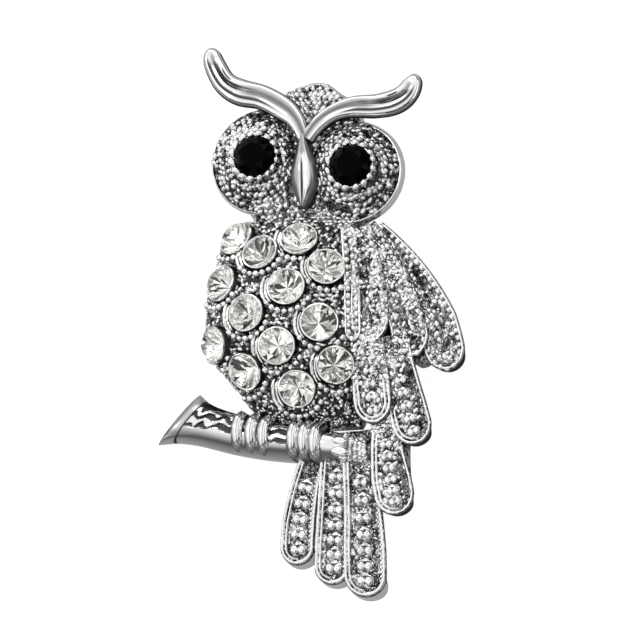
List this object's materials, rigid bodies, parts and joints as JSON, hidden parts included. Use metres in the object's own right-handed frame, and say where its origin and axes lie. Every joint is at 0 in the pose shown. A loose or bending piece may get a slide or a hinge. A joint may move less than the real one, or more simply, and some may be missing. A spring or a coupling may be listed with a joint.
{
  "type": "figural owl brooch",
  "caption": "Cast white-metal owl brooch on a branch, with round cut stones on the belly, black stone eyes and a bar pin across the back.",
  "frame": {"origin": "on the table under the middle of the brooch's outline, the table being what the pin and the tail tip rest on", "axes": "the brooch lies on its back: +Z out of its front, +Y towards the owl's head, +X to the right of someone who looks at its front"},
  "size_m": [0.0348, 0.0634, 0.0107],
  "materials": {
    "plated_casting": "bright rhodium-coloured plating over cast zinc, with darkened recesses",
    "clear_stone": "clear cut glass with a foiled back",
    "black_stone": "opaque black cut glass",
    "pin_metal": "plated steel wire and pads"
  },
  "bodies": {
    "root": {"owl_casting": "plated_casting", "belly_stone_01": "clear_stone", "belly_stone_02": "clear_stone", "belly_stone_03": "clear_stone", "belly_stone_04": "clear_stone", "belly_stone_05": "clear_stone", "belly_stone_06": "clear_stone", "belly_stone_07": "clear_stone", "belly_stone_08": "clear_stone", "belly_stone_09": "clear_stone", "belly_stone_10": "clear_stone", "belly_stone_11": "clear_stone", "belly_stone_12": "clear_stone", "belly_stone_13": "clear_stone", "eye_stone_left": "black_stone", "eye_stone_right": "black_stone", "pin_back": "pin_metal"}
  },
  "joints": []
}
